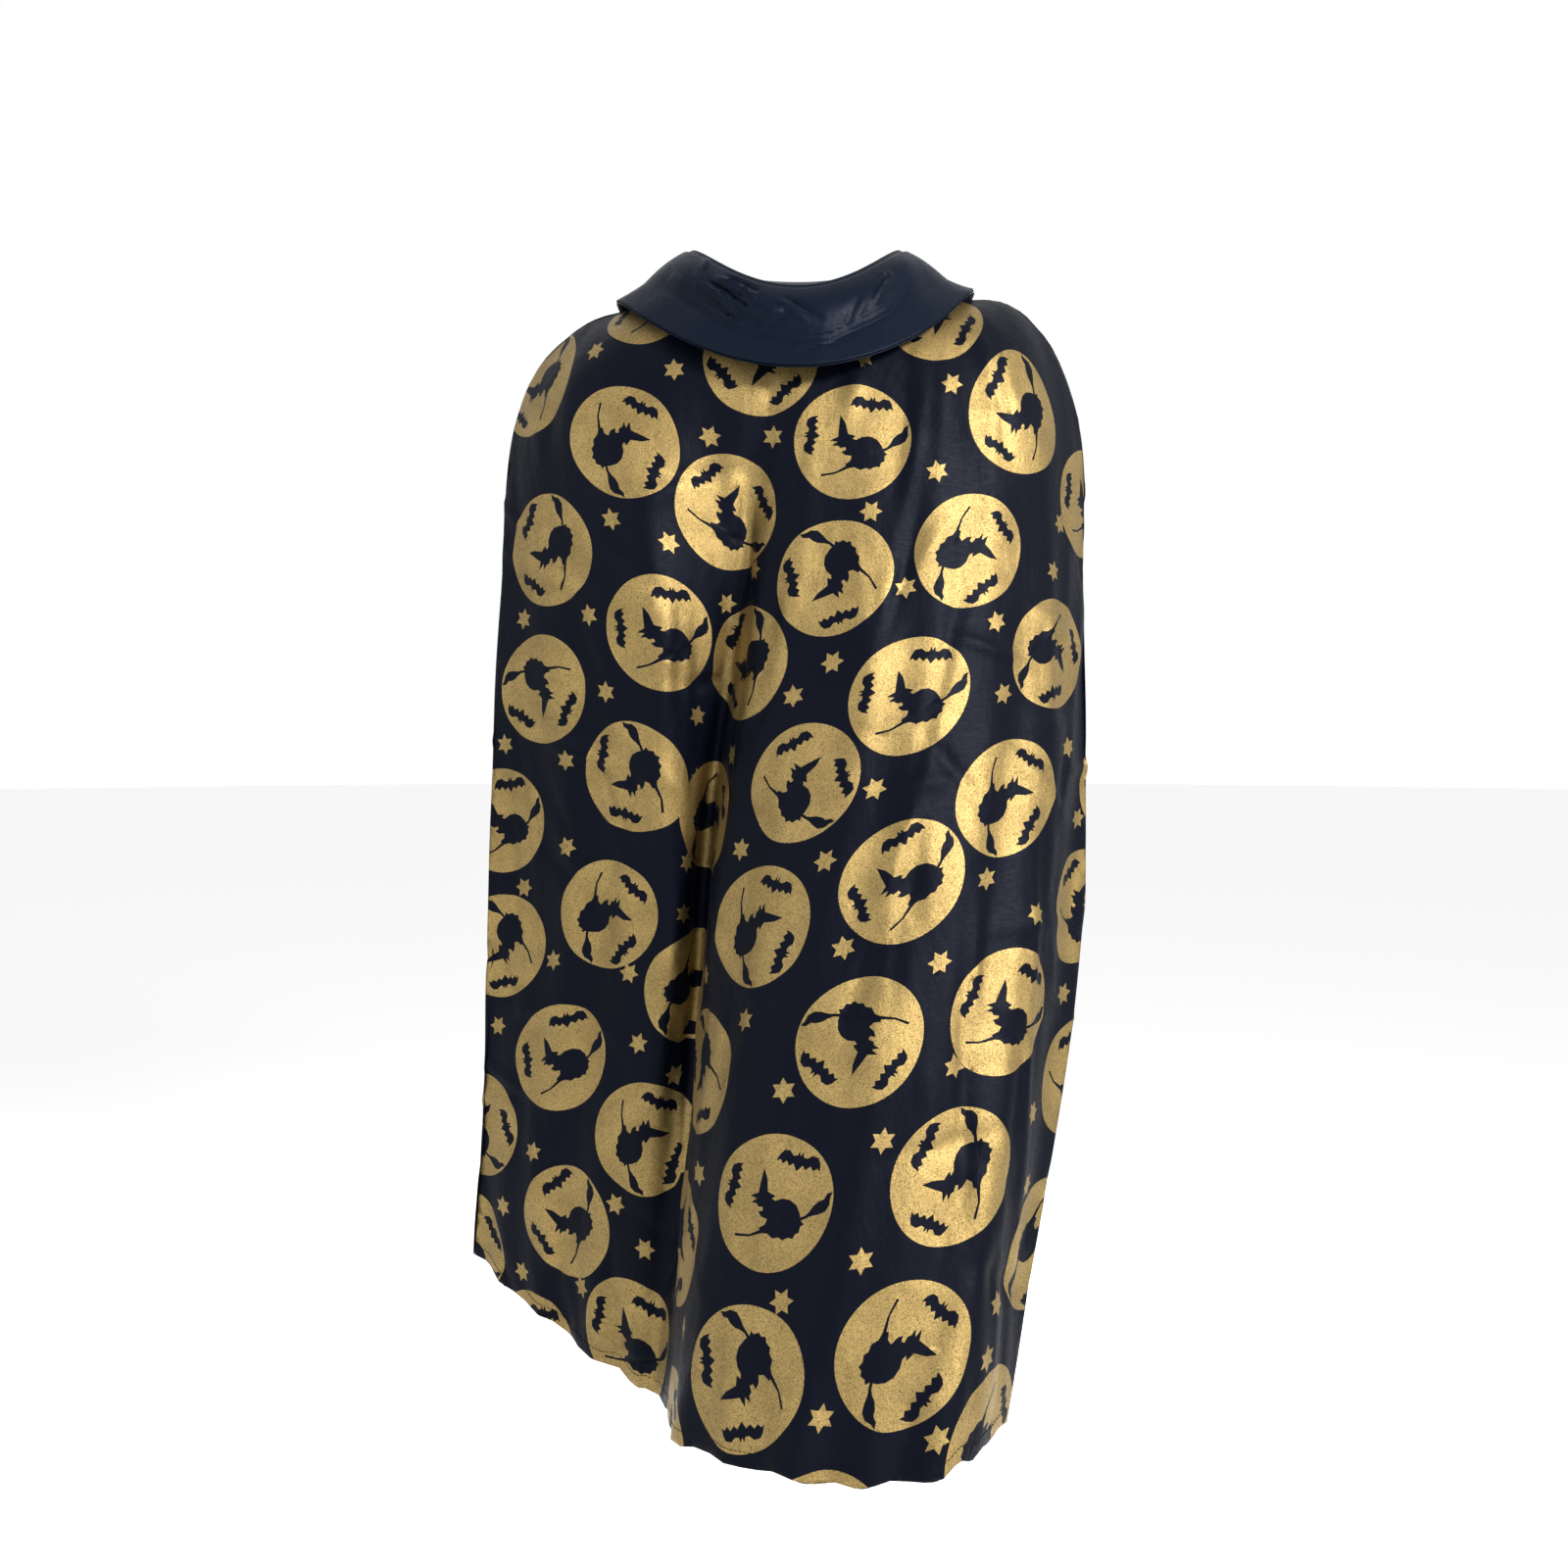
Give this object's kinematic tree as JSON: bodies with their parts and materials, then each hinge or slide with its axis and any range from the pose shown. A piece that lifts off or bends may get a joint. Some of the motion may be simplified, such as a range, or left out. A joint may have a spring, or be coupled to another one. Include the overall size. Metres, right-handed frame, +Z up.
{
  "type": "costume cape",
  "caption": "Costume cape with a turned-down collar and open front, hanging from the shoulders in folds, closed at the throat by a snap tab.",
  "frame": {"origin": "midway between the two highest points of the collar, where a hanger's neck rises", "axes": "+Z up, -Y towards the back of the cape, +X to the right as the back is looked at"},
  "size_m": [0.5572, 0.3742, 0.9673],
  "materials": {
    "satin": "black-navy polyester satin printed with matt gold foil",
    "collar_cloth": "plain navy satin, less shiny",
    "interfacing": "unbleached stiffening",
    "tape": "matt woven tape",
    "label": "blank woven label",
    "snap": "nickel-plated press snap"
  },
  "bodies": {
    "shell": {"back_panel": "satin", "back_hem": "satin", "front_side_left": "satin", "side_hem_left": "satin", "seam_tape_left": "tape", "front_side_right": "satin", "side_hem_right": "satin", "seam_tape_right": "tape", "upper_collar": "collar_cloth", "collar_interfacing": "interfacing", "under_collar": "collar_cloth", "collar_stand": "collar_cloth", "neck_binding": "tape", "tab_base": "collar_cloth", "snap_stud": "snap"},
    "left_front": {"front_edge_left": "satin", "edge_hem_left": "satin", "edge_facing_left": "satin"},
    "right_front": {"front_edge_right": "satin", "edge_hem_right": "satin", "edge_facing_right": "satin"},
    "tab": {"throat_tab": "collar_cloth", "snap_socket": "snap"},
    "label": {"care_label": "label"}
  },
  "joints": [
    {"name": "left_front_swing", "type": "hinge", "parent": "shell", "child": "left_front", "pos_m": [-0.016, 0.08, -0.19], "axis": [0.164, -0.0441, 0.9855], "range_deg": [0, 60]},
    {"name": "right_front_swing", "type": "hinge", "parent": "shell", "child": "right_front", "pos_m": [0.016, 0.08, -0.19], "axis": [0.1411, 0.0443, -0.989], "range_deg": [0, 60]},
    {"name": "throat_tab_open", "type": "hinge", "parent": "shell", "child": "tab", "pos_m": [-0.024, 0.07623, -0.112], "axis": [0, 0, 1], "range_deg": [0, 95]},
    {"name": "label_flip", "type": "hinge", "parent": "shell", "child": "label", "pos_m": [0, -0.06811, -0.06151], "axis": [1, 0, 0], "range_deg": [0, 100]}
  ]
}
